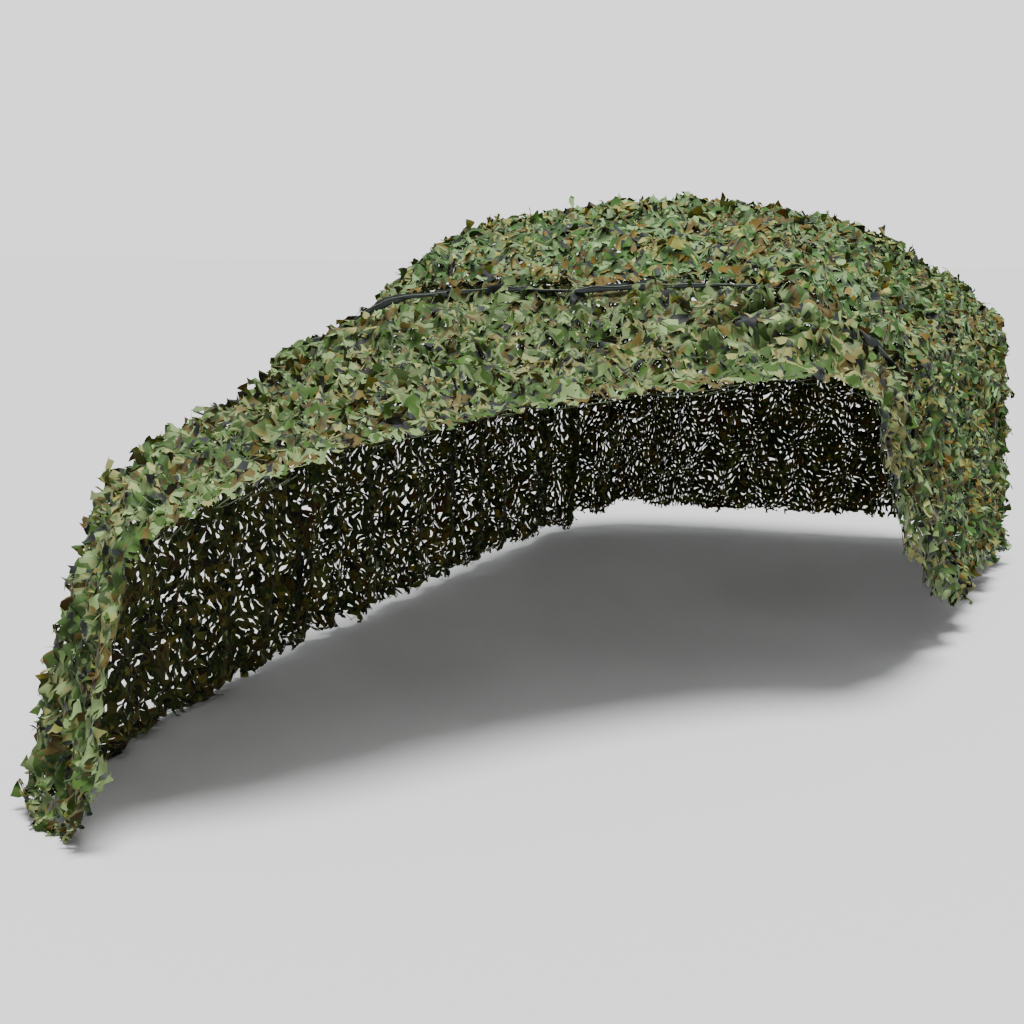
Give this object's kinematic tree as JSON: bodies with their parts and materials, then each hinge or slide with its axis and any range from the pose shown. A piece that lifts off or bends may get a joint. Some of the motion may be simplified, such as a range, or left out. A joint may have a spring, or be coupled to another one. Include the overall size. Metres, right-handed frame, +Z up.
{
  "type": "camouflage net, vehicle cover",
  "caption": "Leaf-cut camouflage net draped as a hollow vehicle cover, with a slanting free front edge, a joined front panel and folds down its hanging sides.",
  "frame": {"origin": "underside of the cloth at the crown, where the net rests on what it covers", "axes": "+X to the net's left hem, +Y from the front edge to the rear hem, +Z up"},
  "size_m": [2.0983, 4.981, 1.4982],
  "materials": {
    "main_cloth": "matte woodland print on thin woven polyester",
    "front_cloth": "matte woodland print on thin woven polyester",
    "join_tape": "matte twisted cloth tape"
  },
  "bodies": {
    "root": {"main_panel": "main_cloth", "front_panel": "front_cloth", "join_tape": "join_tape"}
  },
  "joints": []
}
